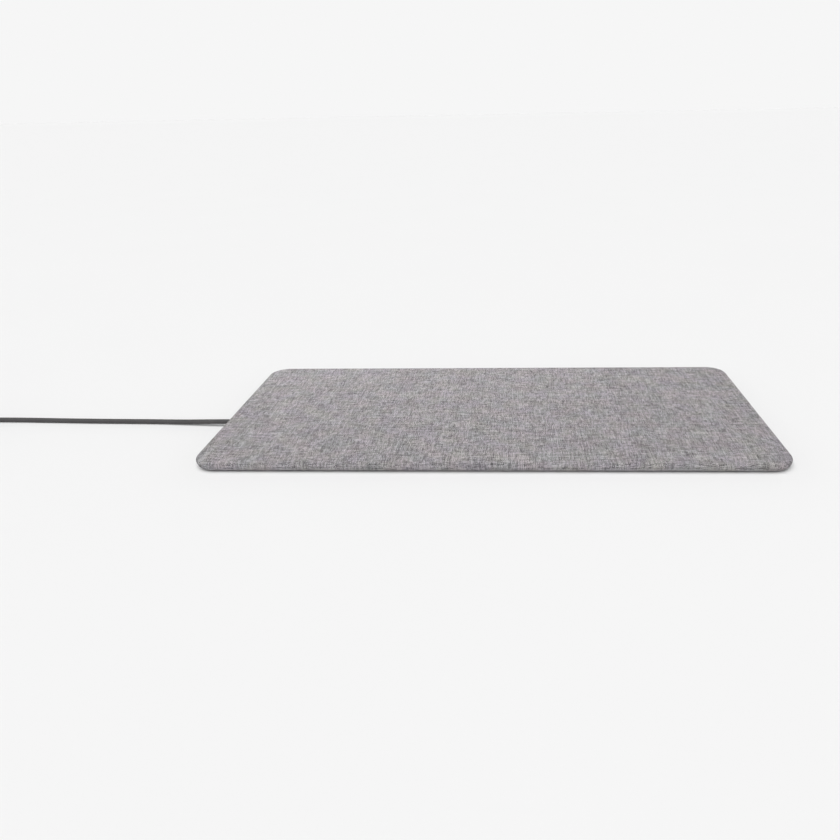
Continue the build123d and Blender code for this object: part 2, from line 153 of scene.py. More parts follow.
class Graph:
    """The node graph of one material."""

    def __init__(self, name: str) -> None:
        """Starts an empty material with that name.

        Args:
            name: the material's name.
        """
        self.material = bpy.data.materials.new(name)
        self.material.use_nodes = True
        self.tree = self.material.node_tree
        self.tree.nodes.clear()

    def node(
        self, kind: str, settings: Optional[dict] = None, sockets: Optional[dict] = None
    ) -> bpy.types.Node:
        """Adds one node.

        Args:
            kind: the node's type name.
            settings: properties that are set before the sockets.
            sockets: input name or number to a constant, a Value or a socket.

        Returns:
            The new node.
        """
        made = self.tree.nodes.new(kind)
        for key, wanted in (settings or {}).items():
            setattr(made, key, wanted)
        for key, wanted in (sockets or {}).items():
            self.feed(made.inputs[key], wanted)
        return made

    def feed(self, socket: bpy.types.NodeSocket, wanted: object) -> None:
        """Links or sets one input.

        Args:
            socket: the input.
            wanted: a Value, an output socket, a number, a vector or a colour.
        """
        if isinstance(wanted, Value):
            wanted = wanted.socket
        if isinstance(wanted, bpy.types.NodeSocket):
            self.tree.links.new(wanted, socket)
        elif socket.type == "RGBA":
            socket.default_value = (*wanted, 1.0)
        else:
            socket.default_value = wanted

    def value(self, made: bpy.types.Node, name: Union[str, int] = 0) -> Value:
        """Wraps one output of a node."""
        return Value(self, made.outputs[name])

    def axes(self, vector: bpy.types.NodeSocket) -> tuple[Value, Value, Value]:
        """Splits a vector into its three numbers."""
        made = self.node("ShaderNodeSeparateXYZ", sockets={0: vector})
        return self.value(made, 0), self.value(made, 1), self.value(made, 2)

    def vector(self, x: Number, y: Number, z: Number) -> bpy.types.NodeSocket:
        """Joins three numbers into a vector."""
        return self.node("ShaderNodeCombineXYZ", sockets={0: x, 1: y, 2: z}).outputs[0]

    def place(self) -> bpy.types.NodeSocket:
        """The piece's own coordinates, in metres."""
        return self.node("ShaderNodeTexCoord").outputs["Object"]

    def unrolled(self) -> bpy.types.NodeSocket:
        """The piece's own UV map, in metres along the surface."""
        return self.node("ShaderNodeTexCoord").outputs["UV"]

    def centred(self, middle: Point) -> bpy.types.NodeSocket:
        """The piece's own coordinates, measured from a point."""
        away = tuple(-part for part in middle)
        return self.node("ShaderNodeMapping", {"vector_type": "POINT"}, {0: self.place(), 1: away}).outputs[0]

    def noise(
        self, size: float, detail: float = 2.0, rough: float = 0.5, at: Optional[bpy.types.NodeSocket] = None
    ) -> Value:
        """Soft random pattern, about 0.5 on average.

        Args:
            size: how large its patches are, in the unit of the coordinates.
            detail: how many finer layers it has.
            rough: how strong they are.
            at: the coordinates, or none for the piece's own.

        Returns:
            The pattern.
        """
        made = self.node(
            "ShaderNodeTexNoise",
            {"noise_dimensions": "3D"},
            {"Vector": at or self.place(), "Scale": 1.0 / size, "Detail": detail, "Roughness": rough},
        )
        return self.value(made)

    def cells(self, size: float, at: Optional[bpy.types.NodeSocket] = None) -> Value:
        """Distance to the nearest of many scattered points, in the piece's own coordinates or others."""
        sockets = {"Vector": at or self.place(), "Scale": 1.0 / size}
        return self.value(self.node("ShaderNodeTexVoronoi", sockets=sockets))

    def along(self, vector: bpy.types.NodeSocket, way: Point) -> Value:
        """How far a vector reaches in a direction."""
        made = self.node("ShaderNodeVectorMath", {"operation": "DOT_PRODUCT"}, {0: vector, 1: way})
        return self.value(made, "Value")

    def dice(self, x: Number, y: Number, z: Number) -> Value:
        """Even random number from 0 to 1, one for each set of three numbers."""
        sockets = {"Vector": self.vector(x, y, z)}
        return self.value(self.node("ShaderNodeTexWhiteNoise", {"noise_dimensions": "3D"}, sockets))

    def mix(self, share: Number, first: Paint, second: Paint, blend: str = "MIX") -> bpy.types.NodeSocket:
        """Mixes two colours.

        Args:
            share: 0 for the first, 1 for the second.
            first: a colour.
            second: another colour.
            blend: Blender's name of the way to mix.

        Returns:
            The mixed colour.
        """
        settings = {"data_type": "RGBA", "blend_type": blend}
        return self.node("ShaderNodeMix", settings, {0: share, 6: first, 7: second}).outputs[2]

    def shade(self, colour: bpy.types.NodeSocket, factor: Value) -> bpy.types.NodeSocket:
        """Multiplies a colour by a number."""
        made = self.node("ShaderNodeVectorMath", {"operation": "SCALE"}, {0: colour, "Scale": factor})
        return made.outputs[0]

    def bump(self, height: Value, depth: float, strength: float) -> bpy.types.NodeSocket:
        """Normal of a relief whose height of 1 stands for that depth in metres."""
        sockets = {"Height": height, "Distance": depth, "Strength": strength}
        return self.node("ShaderNodeBump", sockets=sockets).outputs[0]

    def surface(self, **sockets: object) -> bpy.types.Material:
        """Closes the graph with one Principled shader.

        Args:
            sockets: Principled inputs, with underscores for the spaces in their names.

        Returns:
            The finished material.
        """
        names = {key.replace("_", " "): wanted for key, wanted in sockets.items()}
        shader = self.node("ShaderNodeBsdfPrincipled", sockets=names)
        self.node("ShaderNodeOutputMaterial", sockets={"Surface": shader.outputs[0]})
        return self.material


# ---- finishes -----------------------------------------------------------------------------


def tinted(colour: Colour, factor: float) -> Colour:
    """A colour made darker or paler."""
    return tuple(part * factor for part in colour)


@dataclass(frozen=True)
class MelangeCloth:
    """Plain weave of mixed grey fibres, with slubs along both yarn directions."""

    name: str = "melange_cloth"
    pitch: float = 0.66 * MM
    dash: float = 4.2 * MM
    slub: float = 9.0 * MM
    fleck: float = 0.8 * MM
    drift: Pair = (11 * MM, 16 * MM)
    ripple: Pair = (1.6 * MM, 2.4 * MM)
    patch: float = 17.0 * MM
    relief: float = 0.16 * MM
    dark: Colour = (0.042, 0.0400, 0.0413)
    light: Colour = (0.640, 0.623, 0.633)
    violet: tuple[Colour, Colour] = ((0.970, 0.983, 0.962), (1.020, 0.969, 1.017))
    beige: tuple[Colour, Colour] = ((0.985, 0.992, 1.014), (1.017, 0.997, 0.970))
    own_share: float = 0.14
    dash_share: float = 0.46
    slub_share: float = 0.10
    fleck_share: float = 0.30
    contrast: float = 1.30
    fibre_contrast: float = 0.8
    hole_shade: float = 0.246
    float_shade: float = 0.75
    patch_shade: float = 0.10

    def make(self) -> bpy.types.Material:
        """Builds the cloth's material.

        Returns:
            A material whose pattern follows the cloth's own UV map.
        """
        g = Graph(self.name)
        across, along, _ = g.axes(g.unrolled())
        u = across / self.pitch + self.sway(g, across, along, 3.0)
        v = along / self.pitch + self.sway(g, along, across, 9.0)
        warp = u.floor()
        weft = v.floor()
        over = ((warp + weft) % 2.0) > 0.5
        under = 1 - over
        tone = self.yarn(g, warp, along, 3.7) * over + self.yarn(g, weft, across, 11.3) * under
        fibres = self.fibres(g, u, v, 1.0) * over + self.fibres(g, v, u, 5.0) * under
        height = self.float_height(u.part(), v.part()) * over
        height = height + self.float_height(v.part(), u.part()) * under
        share = (tone - 0.5) * self.contrast + 0.5 + self.fibre_contrast * (fibres - 0.5)
        grey = g.mix(share.at_least(0.0).at_most(1.0), self.dark, self.light)
        for seed, dyes in ((0.0, self.violet), (40.0, self.beige)):
            tint = g.mix(self.cloud(g, across, along, seed), *dyes)
            grey = g.mix(1.0, grey, tint, "MULTIPLY")
        # painted shade: the cloth's colour darkens in the holes between the yarns and towards the edges of
        # each float; the patch term below is random tone
        shade = self.hole_shade + self.float_shade * height
        shade = shade + self.patch_shade * self.cloud(g, across, along, 80.0)
        return g.surface(
            Base_Color=g.shade(grey, shade),
            Roughness=0.92,
            Specular_IOR_Level=0.18,
            Sheen_Weight=0.06,
            Sheen_Roughness=0.45,
            Normal=g.bump(height + 0.35 * fibres, self.relief, 0.8),
        )

    def yarn(self, g: Graph, number: Value, along: Value, seed: float) -> Value:
        """Tone of each yarn: its own shade, dashes of other fibres, slubs and flecks.

        Args:
            g: the graph.
            number: which yarn it is.
            along: place along the yarn, in metres.
            seed: keeps the two yarn directions apart.

        Returns:
            A number about 0.5.
        """
        own = g.dice(number, seed, 0.5)
        stretch = along / self.dash + own * 31.0
        piece = stretch.floor()
        joint = stretch.part().spread(0.30, 0.70)
        dash = g.dice(number, seed, piece) * (1 - joint) + g.dice(number, seed, piece + 1.0) * joint
        slub = g.noise(1.0, 1.0, at=g.vector(number * 7.31, along / self.slub, seed))
        fleck = g.noise(1.0, 1.0, at=g.vector(number * 5.17, along / self.fleck, seed + 20.0))
        tone = own * self.own_share + dash * self.dash_share
        return tone + slub.spread(0.3, 0.7) * self.slub_share + fleck.spread(0.3, 0.7) * self.fleck_share

    def sway(self, g: Graph, across: Value, along: Value, seed: float) -> Value:
        """How far the yarns wander from a straight line, in yarn widths.

        Args:
            g: the graph.
            across: place across the yarns, in metres.
            along: place along them, in metres.
            seed: keeps the two yarn directions apart.

        Returns:
            The distance, either way.
        """
        drift = g.noise(1.0, 1.0, at=g.vector(across / self.drift[0], along / self.drift[1], seed))
        ripple = g.noise(1.0, 1.0, at=g.vector(across / self.ripple[0], along / self.ripple[1], seed + 2.0))
        return 1.6 * (drift - 0.5) + 0.7 * (ripple - 0.5)

    @staticmethod
    def fibres(g: Graph, across: Value, along: Value, seed: float) -> Value:
        """Fine fibres that run along a yarn with a little twist."""
        return g.noise(1.0, 2.0, 0.6, at=g.vector(across * 6.5 + along * 1.6, along * 1.1, seed))

    def cloud(self, g: Graph, across: Value, along: Value, seed: float) -> Value:
        """Soft patches where one dye lot of fibres is commoner."""
        where = g.vector(across / self.patch, along / self.patch, seed)
        return g.noise(1.0, 3.0, 0.6, at=where).spread(0.34, 0.66)

    @staticmethod
    def float_height(across: Value, along: Value) -> Value:
        """Height of an oval float, 1 at its middle and 0 in the holes between the yarns.

        Args:
            across: place over the yarn's width, 0 to 1.
            along: place from one crossing to the next, 0 to 1.

        Returns:
            The height.
        """
        side = (across - 0.5) * (across - 0.5) * 4.0
        end = (along - 0.5) * (along - 0.5) * 4.0
        return (1.0 - 0.70 * side - 0.45 * end * end).at_least(0.0)


@dataclass(frozen=True)
class Moulded:
    """Matt moulded plastic or elastomer: fine grain, faint flow marks."""

    name: str
    colour: Colour
    roughness: float = 0.6
    grain: float = 0.35 * MM
    flow: float = 9 * MM
    mottle: float = 0.12

    def make(self) -> bpy.types.Material:
        """Builds the material.

        Returns:
            The material.
        """
        g = Graph(self.name)
        grain = g.noise(self.grain, 3.0, 0.6)
        blend = (g.noise(self.flow) * 0.6 + grain * 0.4).spread(0.3, 0.7)
        return g.surface(
            Base_Color=g.mix(blend, *(tinted(self.colour, 1 + way * self.mottle) for way in (-1, 1))),
            Roughness=self.roughness - 0.06 + 0.12 * grain,
            Specular_IOR_Level=0.4,
            Normal=g.bump(grain, 0.012 * MM, 0.7),
        )


@dataclass(frozen=True)
class Metal:
    """Rolled, drawn or plated metal with fine lines along one axis."""

    name: str
    colour: Colour
    roughness: float
    lines: Point

    def make(self) -> bpy.types.Material:
        """Builds the material.

        Returns:
            The material.
        """
        g = Graph(self.name)
        stretched = g.vector(*(place * count for place, count in zip(g.axes(g.place()), self.lines)))
        streaks = g.noise(1.0 / 6.0, 3.0, 0.6, at=stretched)
        return g.surface(
            Base_Color=g.mix(streaks.spread(0.3, 0.7), tinted(self.colour, 0.88), self.colour),
            Metallic=1.0,
            Roughness=self.roughness - 0.05 + 0.1 * streaks + 0.06 * g.noise(4 * MM),
            Normal=g.bump(streaks, 0.006 * MM, 0.4),
        )


@dataclass(frozen=True)
class ClosedFoam:
    """Pale closed-cell foam: small round cells under a thin skin."""

    name: str = "closed_foam"
    colour: Colour = (0.50, 0.50, 0.485)
    cell: float = 0.9 * MM

    def make(self) -> bpy.types.Material:
        """Builds the material.

        Returns:
            The material.
        """
        g = Graph(self.name)
        pore = g.cells(self.cell).spread(0.15, 0.6)
        body = g.mix(g.noise(6 * MM), self.colour, tinted(self.colour, 1.3))
        return g.surface(
            # painted shade: the foam's colour darkens in each cell's hollow
            Base_Color=g.shade(body, 0.80 + 0.20 * pore),
            Roughness=0.9,
            Specular_IOR_Level=0.2,
            Normal=g.bump(pore, 0.12 * MM, 0.8),
        )


@dataclass(frozen=True)
class AdhesiveFilm:
    """Thin adhesive or polyimide film: a little gloss, trapped air and roller marks."""

    name: str
    colour: Colour
    roughness: float = 0.28
    bubble: float = 3.2 * MM

    def make(self) -> bpy.types.Material:
        """Builds the material.

        Returns:
            The material.
        """
        g = Graph(self.name)
        air = g.cells(self.bubble).spread(0.0, 0.22)
        haze = g.noise(14 * MM, 3.0)
        return g.surface(
            # painted shade: the film's colour darkens in each small dimple of trapped air
            Base_Color=g.shade(g.mix(haze, tinted(self.colour, 0.72), self.colour), 0.86 + 0.14 * air),
            Roughness=self.roughness + 0.18 * haze,
            Coat_Weight=0.25 * haze,
            Normal=g.bump(air, 0.02 * MM, 0.5),
        )


@dataclass(frozen=True)
class LitzWire:
    """Stranded copper wire: fine lacquered strands that twist round one another."""

    name: str
    middle: Point
    strands: float = 170.0
    lay: float = 1.1 * MM
    copper: Colour = (0.66, 0.27, 0.11)

    def make(self) -> bpy.types.Material:
        """Builds the material.

        Returns:
            The material.
        """
        g = Graph(self.name)
        x, y, z = g.axes(g.centred(self.middle))
        radius = (x * x + y * y).root()
        strand = (y.bearing(x) * self.strands + (radius + z) / self.lay * 2 * math.pi).sine() * 0.5 + 0.5
        tarnished = g.mix(g.noise(5 * MM, 3.0), tinted(self.copper, 0.5), self.copper)
        return g.surface(
            # painted shade: the copper darkens in the grooves between the strands; the tarnish is random tone
            Base_Color=g.shade(tarnished, 0.6 + 0.4 * strand),
            Metallic=0.85,
            Roughness=0.30 + 0.22 * strand,
            Normal=g.bump(strand, 0.09 * MM, 0.8),
        )


@dataclass(frozen=True)
class FerriteTile:
    """Sintered ferrite, scored so that it breaks into small tiles under its film."""

    name: str = "ferrite_tile"
    colour: Colour = (0.030, 0.029, 0.031)
    tile: float = 4.5 * MM
    wander: float = 0.16

    def make(self) -> bpy.types.Material:
        """Builds the material.

        Returns:
            The material.
        """
        g = Graph(self.name)
        x, y, _ = g.axes(g.place())
        wander = (g.noise(2 * MM) - 0.5) * self.wander
        across, down = (((place / self.tile + wander).part() - 0.5).size() for place in (x, y))
        score = across.at_least(down).spread(0.47, 0.5)
        grain = g.noise(0.2 * MM, 3.0)
        return g.surface(
            Base_Color=g.shade(g.mix(grain, self.colour, tinted(self.colour, 1.9)), 1 - 0.6 * score),
            Roughness=0.34 + 0.2 * grain,
            Normal=g.bump(grain * 0.2 - score, 0.05 * MM, 0.6),
        )


@dataclass(frozen=True)
class CircuitBoard:
    """Green solder mask over copper tracks, with tinned pads."""

    name: str = "circuit_board"
    mask: Colour = (0.010, 0.085, 0.035)
    track: Colour = (0.030, 0.160, 0.070)
    tin: Colour = (0.62, 0.61, 0.58)
    lane: float = 1.9 * MM
    run: float = 11 * MM
    pad: float = 2.54 * MM

    def make(self) -> bpy.types.Material:
        """Builds the material.

        Returns:
            The material.
        """
        g = Graph(self.name)
        x, y, _ = g.axes(g.place())
        lane = (x / self.lane).floor()
        bend = g.dice(lane, 0.0, (y / self.run + g.dice(lane, 2.0, 0.0) * 5.0).floor())
        track = ((x / self.lane + bend * 0.5).part() - 0.5).size().spread(0.20, 0.16)
        column, row = x / self.pad, y / self.pad
        pad_x, pad_y = column.part() - 0.5, row.part() - 0.5
        ring = (pad_x * pad_x + pad_y * pad_y).root().spread(0.24, 0.20)
        pad = ring * (g.dice(column.floor(), row.floor(), 7.0) > 0.86)
        weave = g.noise(0.5 * MM)
        return g.surface(
            Base_Color=g.mix(pad, g.mix(track, self.mask, self.track), self.tin),
            Metallic=pad * 0.9,
            Roughness=0.28 + 0.12 * weave,
            Coat_Weight=0.3 - 0.3 * pad,
            Normal=g.bump(track * 0.6 + pad + weave * 0.2, 0.04 * MM, 0.6),
        )


@dataclass(frozen=True)
class WireJackets:
    """Thin wires side by side, each with its own insulation colour."""

    low: float
    high: float
    name: str = "wire_jackets"
    colours: tuple[Colour, ...] = (
        (0.42, 0.012, 0.010),
        (0.55, 0.55, 0.53),
        (0.02, 0.19, 0.05),
        (0.015, 0.015, 0.016),
    )

    def make(self) -> bpy.types.Material:
        """Builds the material.

        Returns:
            The material.
        """
        g = Graph(self.name)
        _, y, _ = g.axes(g.place())
        share = (y - self.low) / (self.high - self.low)
        paint: Paint = self.colours[0]
        for number, colour in enumerate(self.colours[1:], start=1):
            paint = g.mix(share > number / len(self.colours), paint, colour)
        scuff = g.noise(0.8 * MM)
        return g.surface(Base_Color=g.shade(paint, 0.85 + 0.3 * scuff), Roughness=0.36 + 0.2 * scuff)


@dataclass(frozen=True)
class ChipCeramic:
    """Fired ceramic or moulded epoxy of small parts, with tinned feet."""

    name: str
    colour: Colour
    foot: float
    speck: float = 0.25 * MM
    tin: Colour = (0.60, 0.59, 0.56)

    def make(self) -> bpy.types.Material:
        """Builds the material.

        Returns:
            The material.
        """
        g = Graph(self.name)
        _, _, z = g.axes(g.place())
        speck = g.noise(self.speck, 3.0, 0.6)
        tinned = 1 - (z > self.foot)
        return g.surface(
            Base_Color=g.mix(tinned, g.mix(speck, self.colour, tinted(self.colour, 1.35)), self.tin),
            Metallic=tinned,
            Roughness=0.42 + 0.16 * speck,
            Normal=g.bump(speck, 0.01 * MM, 0.6),
        )


@dataclass(frozen=True)
class LoopTape:
    """Hook-and-loop tape: a napped pile between two woven selvedges."""

    across: Point
    middle: Point
    name: str = "loop_tape"
    colour: Colour = (0.020, 0.020, 0.022)
    half_width: float = 4.5 * MM
    rib: float = 0.5 * MM

    def make(self) -> bpy.types.Material:
        """Builds the material.

        Returns:
            The material.
        """
        g = Graph(self.name)
        place = g.centred(self.middle)
        side = g.along(place, self.across)
        edge = side.size().spread(self.half_width * 0.80, self.half_width * 0.86)
        pile = g.cells(0.42 * MM, at=place)
        ribs = (side / self.rib * 2 * math.pi).sine() * 0.5 + 0.5
        height = pile * (1 - edge) + ribs * edge
        return g.surface(
            # painted shade: the tape's colour darkens where the pile and ribs are low and pales on their tops
            Base_Color=g.mix(height, self.colour, tinted(self.colour, 2.6)),
            Roughness=0.88,
            Sheen_Weight=0.25,
            Sheen_Roughness=0.5,
            Normal=g.bump(height, 0.16 * MM, 0.9),
        )


@dataclass(frozen=True)
class DottedSilicone:
    """Grippy silicone sheet with a fine pattern of raised dots, left out of the label field."""

    label: Pair
    name: str = "dotted_silicone"
    colour: Colour = (0.075, 0.074, 0.078)
    dot_pitch: float = 1.8 * MM

    def make(self) -> bpy.types.Material:
        """Builds the material.

        Returns:
            The material.
        """
        g = Graph(self.name)
        x, y, _ = g.axes(g.place())
        row = y / self.dot_pitch
        dot_x = (x / self.dot_pitch + (row.floor() % 2.0) * 0.5).part() - 0.5
        dot_y = row.part() - 0.5
        outside = (x.size() > self.label[0] / 2).at_least(y.size() > self.label[1] / 2)
        dot = (dot_x * dot_x + dot_y * dot_y).root().spread(0.32, 0.20) * outside
        dust = g.noise(0.4 * MM, 4.0, 0.65)
        bloom = (g.noise(30 * MM, 3.0) * 0.5 + dust * 0.5).spread(0.3, 0.75)
        return g.surface(
            # painted highlight: the raised dots are paler than the sheet around them, which reads as light on
            # their tops
            Base_Color=g.shade(g.mix(bloom, self.colour, tinted(self.colour, 1.45)), 0.72 + 0.5 * dot),
            Roughness=0.58 + 0.16 * dust,
            Normal=g.bump(dot + 0.08 * dust, 0.14 * MM, 0.9),
        )


@dataclass(frozen=True)
class Backdrop:
    """Plain matt floor."""

    name: str = "studio_floor"
    colour: Colour = (0.85, 0.85, 0.85)

    def make(self) -> bpy.types.Material:
        """Builds the material.

        Returns:
            The material.
        """
        g = Graph(self.name)
        colour = g.mix(g.noise(1.0 / 6.0), self.colour, tinted(self.colour, 1.01))
        return g.surface(Base_Color=colour, Roughness=0.9, Specular_IOR_Level=0.1)


# ---- helpers ------------------------------------------------------------------------------


def dress(piece: bpy.types.Object, material: bpy.types.Material) -> None:
    """Puts one material on a piece in place of what it has."""
    piece.data.materials.clear()
    piece.data.materials.append(material)


def settle(piece: bpy.types.Object, material: bpy.types.Material, slot: str, *nodes: str) -> None:
    """Dresses a finished piece and fixes it to the mat's only body.

    Args:
        piece: the finished piece.
        material: its finish.
        slot: not used.
        nodes: the plain solids that the piece stands for.
    """
    dress(piece, material)
    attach(piece, ROOT)
    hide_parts(*nodes)
    log.info("%s: %d faces", piece.name, len(getattr(piece.data, "polygons", ())))


def add_object(name: str, data: bpy.types.ID) -> bpy.types.Object:
    """Puts a mesh, curve, lamp or camera into the scene.

    Args:
        name: the object's name.
        data: what it holds.

    Returns:
        The object.
    """
    made = bpy.data.objects.new(name, data)
    bpy.context.scene.collection.objects.link(made)
    return made


def box_corner(node: str, which: int) -> Vector:
    """Field that holds the lowest (0) or highest (1) corner of a solid's box."""
    return field(default_factory=lambda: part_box(node)[which])


def nothing_selected() -> None:
    """Leaves edit mode and deselects every object."""
    if bpy.context.object and bpy.context.object.mode != "OBJECT":
        bpy.ops.object.mode_set(mode="OBJECT")
    bpy.ops.object.select_all(action="DESELECT")


def only(piece: bpy.types.Object) -> None:
    """Makes a piece the only selected and the active one.

    Args:
        piece: the piece.
    """
    nothing_selected()
    piece.select_set(True)
    bpy.context.view_layer.objects.active = piece


def smooth(piece: bpy.types.Object, angle: float) -> None:
    """Shades a piece smoothly but for edges sharper than an angle in degrees."""
    only(piece)
    bpy.ops.object.shade_smooth_by_angle(angle=math.radians(angle))


def apply_modifier(piece: bpy.types.Object, kind: str, **settings: object) -> None:
    """Adds one modifier to a piece and applies it.

    Args:
        piece: the piece.
        kind: Blender's name of the modifier.
        settings: the modifier's properties.
    """
    only(piece)
    modifier = piece.modifiers.new(kind.lower(), kind)
    for key, wanted in settings.items():
        setattr(modifier, key, wanted)
    bpy.ops.object.modifier_apply(modifier=modifier.name)


def draw_round(name: str, route: list[Point], diameter: float, steps: int, sides: int) -> bpy.types.Object:
    """Draws a cord or wire as one smooth open curve.

    Args:
        name: the piece's name.
        route: control points, in metres.
        diameter: its thickness, in metres.
        steps: sections between two control points.
        sides: how finely its round section is divided.

    Returns:
        The curve.
    """
    curve = bpy.data.curves.new(name, "CURVE")
    curve.dimensions = "3D"
    curve.resolution_u = steps
    curve.bevel_depth = diameter / 2
    curve.bevel_resolution = sides
    curve.use_fill_caps = True
    spline = curve.splines.new("NURBS")
    spline.points.add(len(route) - 1)
    for point, place in zip(spline.points, route):
        point.co = (*place, 1.0)
    spline.order_u = 3
    spline.use_endpoint_u = True
    return add_object(name, curve)


# ---- cloth cover --------------------------------------------------------------------------


@dataclass
class ClothCover:
    """Cloth drawn over the shell: flat top, bullnose edge and a hem under the rim."""

    corner: float = 15 * MM
    top_round: float = 2.3 * MM
    low_round: float = 4.0 * MM
    hem: float = 14 * MM
    mat_edge: float = 7 * MM
    thick: float = 0.5 * MM
    weave_grid: float = 8 * MM
    pleat_depth: float = 0.32 * MM
    pleat_fade: Pair = (6.3 * MM, 2.2 * MM)
    pleats: int = 7
    ripple: float = 0.03 * MM
    hole_radius: float = 2.1 * MM
    hole_place: Pair = (-16.6 * MM, 3.6 * MM)
    edge_steps: int = 7
    arc_steps: int = 16
    low: Vector = box_corner("fabric_cover", 0)
    high: Vector = box_corner("fabric_cover", 1)

    def profile(self) -> list[Pair]:
        """Inset and height of each ring, from the flat top round the edge to the hem.

        Returns:
            (inset, z) pairs in metres.
        """
        turns = [math.pi / 2 * step / self.edge_steps for step in range(self.edge_steps + 1)]
        top, low = self.top_round, self.low_round
        rings = [(top * (1 - math.sin(turn)), self.high.z - top * (1 - math.cos(turn))) for turn in turns]
        rings += [(low * (1 - math.cos(turn)), self.low.z + low * (1 - math.sin(turn))) for turn in turns]
        hem_rings = (4.7 * MM, 5.4 * MM, 6.1 * MM, self.mat_edge, 10 * MM, self.hem)
        return rings + [(inset, self.low.z) for inset in hem_rings]

    def outline(self, inset: float) -> list[Pair]:
        """Rounded rectangle, inset from the cover's outline, counter-clockwise.

        Args:
            inset: distance inside the outline, in metres.

        Returns:
            (x, y) points, corner by corner.
        """
        radius = self.corner - inset
        centre_x = self.high.x - self.corner
        centre_y = self.high.y - self.corner
        points = []
        for quarter, (sx, sy) in enumerate(((1, 1), (-1, 1), (-1, -1), (1, -1))):
            for step in range(self.arc_steps + 1):
                turn = math.pi / 2 * (quarter + step / self.arc_steps)
                x = sx * centre_x + radius * math.cos(turn)
                points.append((x, sy * centre_y + radius * math.sin(turn)))
        return points

    def spine(self, at: Vector) -> tuple[Vector, Vector, float]:
        """Nearest point of the inner rectangle, the way out from it and the distance.

        Args:
            at: a point of the cover.

        Returns:
            The nearest point, the unit direction and the distance, all level.
        """
        limit_x = self.high.x - self.corner
        limit_y = self.high.y - self.corner
        near = Vector((max(-limit_x, min(limit_x, at.x)), max(-limit_y, min(limit_y, at.y))))
        way = Vector((at.x, at.y)) - near
        distance = way.length
        return near, (way / distance if distance > 1e-9 else way), distance

    def unroll(self, at: Vector) -> Pair:
        """Where a point of the cover lay on the flat cloth.

        Args:
            at: a point of the cover.

        Returns:
            (u, v) in metres.
        """
        near, way, distance = self.spine(at)
        edge = self.corner - self.top_round
        if distance <= edge + 1e-7 and at.z > self.high.z - self.top_round / 2:
            return at.x, at.y
        side = self.high.z - self.top_round
        foot = self.low.z + self.low_round
        run = self.top_round * math.pi / 2
        if at.z >= side:
            run = self.top_round * math.atan2(distance - edge, at.z - side)
        elif at.z >= foot:
            run += side - at.z
        else:
            bend = math.atan2(foot - at.z, max(distance - (self.corner - self.low_round), 0.0))
            run += side - foot + self.low_round * bend
            run += max(self.corner - self.low_round - distance, 0.0)
        flat = near + way * (edge + run)
        return flat.x, flat.y

    def pleat(self, at: Vector) -> float:
        """How far the gathered hem stands down at a corner of the underside.

        Args:
            at: a point of the cover.

        Returns:
            The distance, in metres.
        """
        near, way, distance = self.spine(at)
        limit = Vector((self.high.x - self.corner, self.high.y - self.corner))
        at_corner = abs(abs(near.x) - limit.x) < TINY and abs(abs(near.y) - limit.y) < TINY
        if not at_corner or at.z > self.low.z + 0.5 * self.low_round:
            return 0.0
        turn = math.atan2(abs(way.y), abs(way.x)) / (math.pi / 2)
        fold = 0.5 - 0.5 * math.cos(turn * self.pleats * 2 * math.pi)
        inset = self.corner - distance
        fade = max(0.0, min(1.0, (self.pleat_fade[0] - inset) / self.pleat_fade[1]))
        ends = math.sin(math.pi * turn) ** 0.5 if 0 < turn < 1 else 0.0
        return self.pleat_depth * fold * fade * ends

    def build(self) -> bpy.types.Object:
        """Makes the cover, with its thickness and the lead's hole.

        Returns:
            The finished cloth.
        """
        work = bmesh.new()
        rings = [[work.verts.new((x, y, z)) for x, y in self.outline(inset)] for inset, z in self.profile()]
        work.faces.new(rings[0])
        for upper, lower in zip(rings, rings[1:]):
            for index in range(len(upper)):
                after = (index + 1) % len(upper)
                work.faces.new((upper[index], lower[index], lower[after], upper[after]))
        for way, reach in ((Vector(LONG_WAY), self.high.x), (Vector(DEEP_WAY), self.high.y)):
            count = int(reach / self.weave_grid)
            for step in range(-count, count + 1):
                everything = work.verts[:] + work.edges[:] + work.faces[:]
                place = way * step * self.weave_grid
                bmesh.ops.bisect_plane(work, geom=everything, plane_co=place, plane_no=way)
        bmesh.ops.remove_doubles(work, verts=work.verts[:], dist=1e-7)
        bmesh.ops.recalc_face_normals(work, faces=work.faces[:])
        flat_map = work.loops.layers.uv.new("cloth")
        for face in work.faces:
            for loop in face.loops:
                loop[flat_map].uv = self.unroll(loop.vert.co)
        for vertex in work.verts:
            vertex.co.z -= self.pleat(vertex.co)
            if vertex.co.z > self.high.z - TINY:
                vertex.co.z += self.ripple * (noise.noise(vertex.co * 28.0) - 0.6)
        mesh = bpy.data.meshes.new("cloth_cover")
        work.to_mesh(mesh)
        work.free()
        cover = add_object("cloth_cover", mesh)
        apply_modifier(cover, "SOLIDIFY", thickness=self.thick, offset=-1.0)
        self.cut_hole(cover)
        smooth(cover, 50)
        return cover

    def cut_hole(self, cover: bpy.types.Object) -> None:
        """Cuts the lead's round hole through the side of the cloth.

        Args:
            cover: the cloth.
        """
        nothing_selected()
        place = (self.low.x, *self.hole_place)
        bpy.ops.mesh.primitive_cylinder_add(
            vertices=40,
            radius=self.hole_radius,
            depth=8 * MM,
            location=place,
            rotation=(0.0, math.pi / 2, 0.0),
        )
        cutter = bpy.context.object
        apply_modifier(cover, "BOOLEAN", operation="DIFFERENCE", solver="EXACT", object=cutter)
        bpy.data.objects.remove(cutter)

    def flat_size(self) -> Pair:
        """Size of the cloth before it was wrapped, in metres.

        Returns:
            Its length and width.
        """
        wrap = self.top_round * (math.pi / 2 - 1) + self.low_round * (math.pi / 2 - 2) + self.hem
        wrap += self.high.z - self.low.z - self.top_round
        return 2 * (self.high.x + wrap), 2 * (self.high.y + wrap)


# ---- supply lead --------------------------------------------------------------------------


